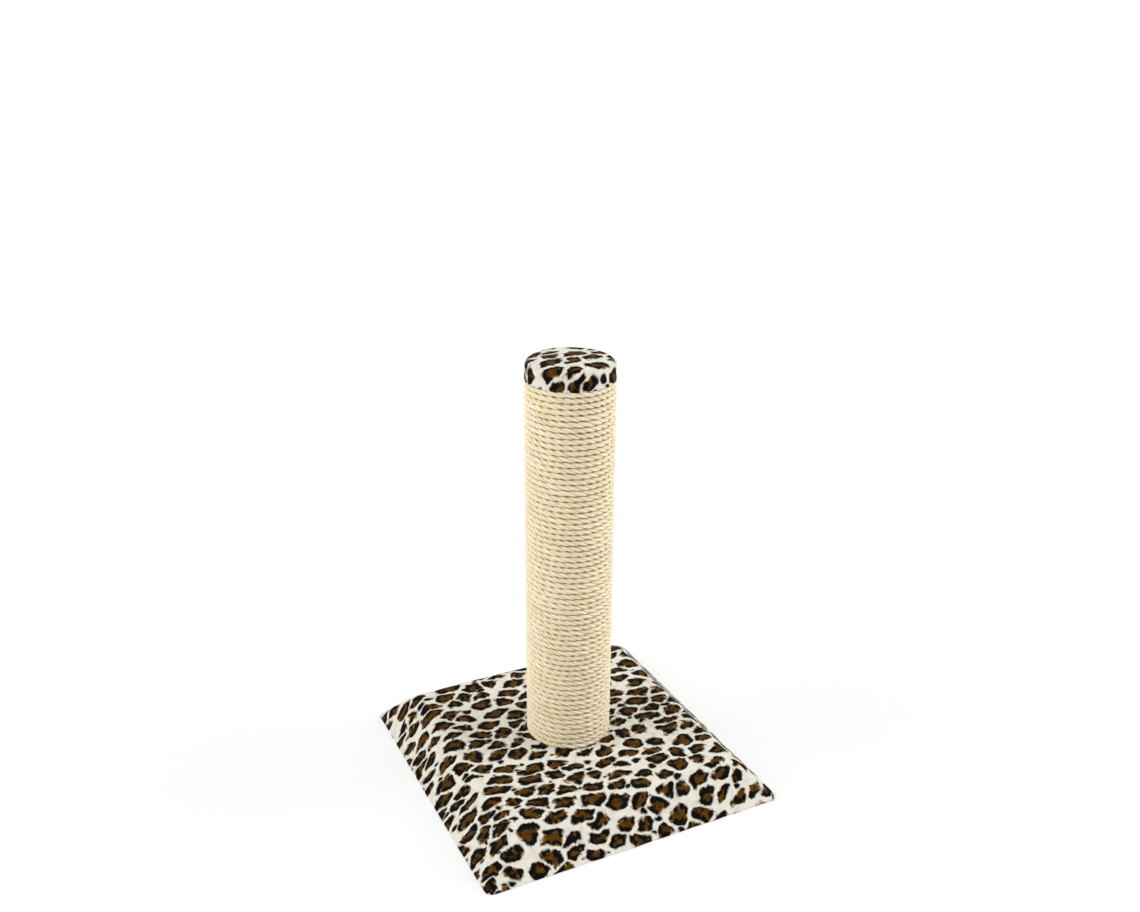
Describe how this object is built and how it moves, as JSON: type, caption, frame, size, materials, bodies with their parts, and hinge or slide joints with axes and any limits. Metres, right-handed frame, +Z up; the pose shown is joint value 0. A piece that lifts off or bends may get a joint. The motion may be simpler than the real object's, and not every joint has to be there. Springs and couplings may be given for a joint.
{
  "type": "cat scratching post",
  "caption": "Free-standing scratching post: a sisal-wound tube bolted to a square bevelled base, with plush on the base and on the padded cap.",
  "frame": {"origin": "on the floor, at the middle of the base's underside, which is also the middle of the post", "axes": "+Z up along the post; X and Y along the base's sides, with -Y the side the camera of the picture mainly faces"},
  "size_m": [0.35, 0.35, 0.4845],
  "materials": {
    "plush": "short-pile plush with a leopard print of brown and black rosettes on off-white",
    "wadding": "needled polyester wadding",
    "foam": "open-cell foam",
    "board": "raw fibreboard and softwood",
    "cardboard": "wound paper tube, matt",
    "sisal": "three-strand twisted sisal, unoiled, pale straw",
    "steel": "bright zinc"
  },
  "bodies": {
    "root": {"base_board": "board", "side_rail_front": "board", "side_rail_right": "board", "side_rail_back": "board", "side_rail_left": "board", "centre_block": "board", "deck_board": "board", "deck_screw_1": "steel", "deck_screw_2": "steel", "deck_screw_3": "steel", "deck_screw_4": "steel", "deck_screw_5": "steel", "deck_screw_6": "steel", "deck_screw_7": "steel", "deck_screw_8": "steel", "base_wadding": "wadding", "base_cover": "plush", "hem_staple_1": "steel", "hem_staple_2": "steel", "hem_staple_3": "steel", "hem_staple_4": "steel", "hem_staple_5": "steel", "hem_staple_6": "steel", "hem_staple_7": "steel", "hem_staple_8": "steel", "hem_staple_9": "steel", "hem_staple_10": "steel", "hem_staple_11": "steel", "hem_staple_12": "steel", "hem_staple_13": "steel", "hem_staple_14": "steel", "hem_staple_15": "steel", "hem_staple_16": "steel", "post_bolt": "steel", "bolt_washer": "steel", "tee_nut": "steel", "sisal_rope": "sisal", "rope_tack_bottom": "steel", "rope_tack_top": "steel", "post_tube": "cardboard", "bottom_plug": "board", "plug_nail_1": "steel", "plug_nail_2": "steel", "plug_nail_3": "steel", "plug_nail_4": "steel", "plug_nail_5": "steel", "plug_nail_6": "steel", "top_plug": "board", "cap_disc": "board", "cap_screw_1": "steel", "cap_screw_2": "steel", "cap_screw_3": "steel", "cap_foam": "foam", "cap_cover": "plush", "cap_staple_1": "steel", "cap_staple_2": "steel", "cap_staple_3": "steel", "cap_staple_4": "steel"}
  },
  "joints": []
}
